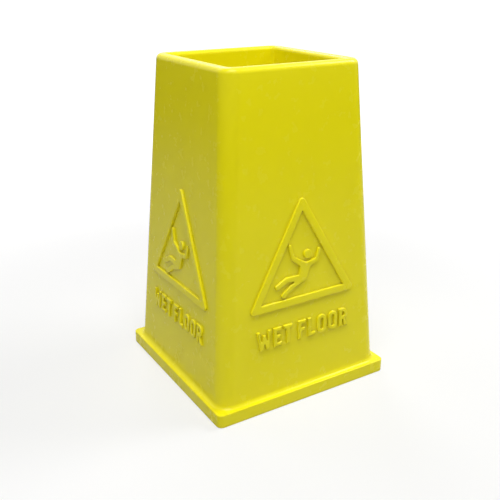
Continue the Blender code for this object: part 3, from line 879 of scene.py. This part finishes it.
# One material: its colour is tinted by the mottle, lightened at the edges (a painted highlight on
# the plastic, worn edges on the rubber and the steel), darkened by painted shade in the crevices and
# dusted.
def makeMaterial(name):
    look = finishes[name]
    material = bpy.data.materials.new(name)
    material.use_nodes = True
    tree = material.node_tree
    shader = tree.nodes["Principled BSDF"]
    shader.inputs["Metallic"].default_value = look["metallic"]
    shader.inputs["Specular IOR Level"].default_value = look["specular"]

    def place(kind, labels, values):
        node = tree.nodes.new("ShaderNodeGroup")
        node.node_tree = kind
        for label, value in zip(labels, values):
            node.inputs[label].default_value = value
        return node.outputs

    def blend(share, first, second):
        colours = [(*c, 1) if isinstance(c, tuple) else c for c in (first, second)]
        node = addStep(tree, "ShaderNodeMix", {0: share, 6: colours[0], 7: colours[1]}, data_type="RGBA")
        return node.outputs[2]

    grain = place(mouldedGrain, ("Grain Scale", "Wave Scale", "Wave Share"), look["grain"])
    # lighter edges: a painted highlight on the yellow plastic, worn edges on the rubber and the steel
    wearAndSheen = place(edgeWearAndSheen, ("Width", "Breakup Scale", "Amount"), look["wearAndSheen"])["Mask"]
    # painted shade: the colour goes darker in the crevices, where little light reaches
    paintedShade = place(paintedCreviceShade, ("Width", "Amount"), look["paintedShade"])["Mask"]
    dust = place(settledDust, ("Reach", "Patch Scale", "Amount"), look["dust"])["Mask"]
    colour = blend(grain["Mottle"], look["colour"], look["tint"])
    colour = blend(wearAndSheen, colour, look["wornAndSheenColour"])
    colour = blend(paintedShade, colour, look["paintedShadeColour"])
    colour = blend(dust, colour, look["dustColour"])
    tree.links.new(colour, shader.inputs["Base Color"])
    shine = addRange(tree, grain["Mottle"], weatheringAndPaintedLight["mottleRange"], look["roughness"])
    dulled = calc(tree, "MULTIPLY", dust, weatheringAndPaintedLight["dustRoughness"])
    tree.links.new(calc(tree, "ADD", shine, dulled), shader.inputs["Roughness"])
    relief = {"Strength": look["bump"], "Distance": look["bumpDepth"], "Height": grain["Height"]}
    bump = addStep(tree, "ShaderNodeBump", relief)
    tree.links.new(bump.outputs[0], shader.inputs["Normal"])
    return material


camera = {
    "lens": 50.0,
    "sensor": 36.0,
    "place": (-0.55355, -0.8860, 0.6151),
    "look": (0.48646, 0.78959, -0.37404),
    "clipStart": 10 * mm,
}
studio = {
    "worldStrength": 0.02,  # as it lights the sign
    "backdropStrength": 1.0,  # as the camera and reflections see it
    "floorReach": 60.0,
    "floorShade": (0.34, 0.34, 0.34),  # as the camera sees it, under the glow
    "floorBounce": (0.68, 0.68, 0.68),  # as it lights the sign
    "glow": (0.6, 1.1),  # beside the sign and far away
    "glowFade": (0.45, 1.8),  # metres from the sign's axis
    "lampSize": 0.9,
    "lampDistance": 2.2,
    # each lamp is aimed at the sign's middle: its bearing from the front wall's normal,
    # anticlockwise seen from above, its rise above level, both in degrees, and its power
    "lamps": {
        "overheadSoftbox": (-30, 72, 25.0),
        "frontSoftbox": (-15, 45, 6.5),
        "leftSoftbox": (-60, 45, 7.0),
        "rearLeftSoftbox": (-150, 45, 6.0),
        "rearSoftbox": (165, 45, 12.0),
        "rightSoftbox": (75, 45, 23.0),
    },
}


def makeCamera():
    eye = bpy.data.cameras.new("camera")
    eye.lens = camera["lens"]
    eye.sensor_width = camera["sensor"]
    eye.sensor_height = camera["sensor"]
    eye.clip_start = camera["clipStart"]
    rig = bpy.data.objects.new("camera", eye)
    rig.location = camera["place"]
    rig.rotation_euler = Vector(camera["look"]).to_track_quat("-Z", "Y").to_euler()
    scene.collection.objects.link(rig)
    scene.camera = rig


# 1 for the rays that show the backdrop, straight or through something clear, and in a
# reflection too if that is asked for. 0 for those that only carry light to the sign.
def seesBackdrop(tree, mirrored):
    rays = addStep(tree, "ShaderNodeLightPath").outputs
    straight = calc(tree, "MAXIMUM", rays["Is Camera Ray"], rays["Is Transmission Ray"])
    return calc(tree, "MAXIMUM", straight, rays["Is Glossy Ray"]) if mirrored else straight


# A grey floor that glows for the camera: it reads as white, and a shadow still shows on it.
def makeFloor():
    mesh = bpy.data.meshes.new("studioFloor")
    reach = studio["floorReach"]
    corners = [(-reach, -reach, 0), (reach, -reach, 0), (reach, reach, 0), (-reach, reach, 0)]
    mesh.from_pydata(corners, [], [range(len(corners))])
    floor = bpy.data.objects.new("studioFloor", mesh)
    scene.collection.objects.link(floor)
    material = bpy.data.materials.new("paleFloor")
    material.use_nodes = True
    tree = material.node_tree
    shader = tree.nodes["Principled BSDF"]
    seen = seesBackdrop(tree, False)
    shades = {6: (*studio["floorBounce"], 1), 7: (*studio["floorShade"], 1)}
    colour = addStep(tree, "ShaderNodeMix", {0: seen, **shades}, data_type="RGBA").outputs[2]
    tree.links.new(colour, shader.inputs["Base Color"])
    shader.inputs["Roughness"].default_value = 1.0
    shader.inputs["Specular IOR Level"].default_value = 0.0
    shader.inputs["Emission Color"].default_value = white
    where = addStep(tree, "ShaderNodeTexCoord").outputs["Object"]
    away = addStep(tree, "ShaderNodeVectorMath", {0: where}, operation="LENGTH").outputs["Value"]
    near, far = studio["glowFade"]
    beside, distant = studio["glow"]
    fade = {0: away, 1: near, 2: far, 3: beside, 4: distant}
    glow = addStep(tree, "ShaderNodeMapRange", fade, interpolation_type="SMOOTHSTEP").outputs[0]
    tree.links.new(calc(tree, "MULTIPLY", seen, glow), shader.inputs["Emission Strength"])
    mesh.materials.append(material)


# The world, which is white where it shows, and the softboxes.
def makeLight():
    world = bpy.data.worlds.new("studio")
    world.use_nodes = True
    scene.world = world
    tree = world.node_tree
    tree.nodes.clear()
    dim = addStep(tree, "ShaderNodeBackground", {"Color": white, "Strength": studio["worldStrength"]})
    bright = addStep(tree, "ShaderNodeBackground", {"Color": white, "Strength": studio["backdropStrength"]})
    shades = {0: seesBackdrop(tree, True), 1: dim.outputs[0], 2: bright.outputs[0]}
    either = addStep(tree, "ShaderNodeMixShader", shades)
    tree.links.new(either.outputs[0], addStep(tree, "ShaderNodeOutputWorld").inputs[0])
    middle = Vector((0, 0, tower["height"] / 2))
    for name, (bearing, rise, power) in studio["lamps"].items():
        lamp = bpy.data.lights.new(name, "AREA")
        lamp.shape = "DISK"
        lamp.size = studio["lampSize"]
        lamp.energy = power
        turn = Matrix.Rotation(radians(bearing), 3, "Z") @ Matrix.Rotation(-radians(rise), 3, "X")
        away = turn @ Vector((0, -studio["lampDistance"], 0))
        holder = bpy.data.objects.new(name, lamp)
        holder.location = middle + away
        holder.rotation_euler = away.to_track_quat("Z", "Y").to_euler()
        scene.collection.objects.link(holder)
    scene.view_settings.view_transform = "Standard"


makeCamera()
squareLoft = buildLoftTree()
fourSides = buildFourSidesTree()
mouldedGrain = buildGrainGroup()
edgeWearAndSheen = buildEdgeGroup()
paintedCreviceShade = buildCreviceGroup()
settledDust = buildDustGroup()
print("trees and shader groups built")

yellowPlastic, ballastRubber, footRubber, screwSteel = (makeMaterial(name) for name in finishes)
makeTower(yellowPlastic)
makeMarks(yellowPlastic)
makeLettering(yellowPlastic)
makeRing(ballastRubber)
makeFeet(footRubber)
makeScrews(screwSteel)
makeFloor()
makeLight()
print("floor and lamps set")
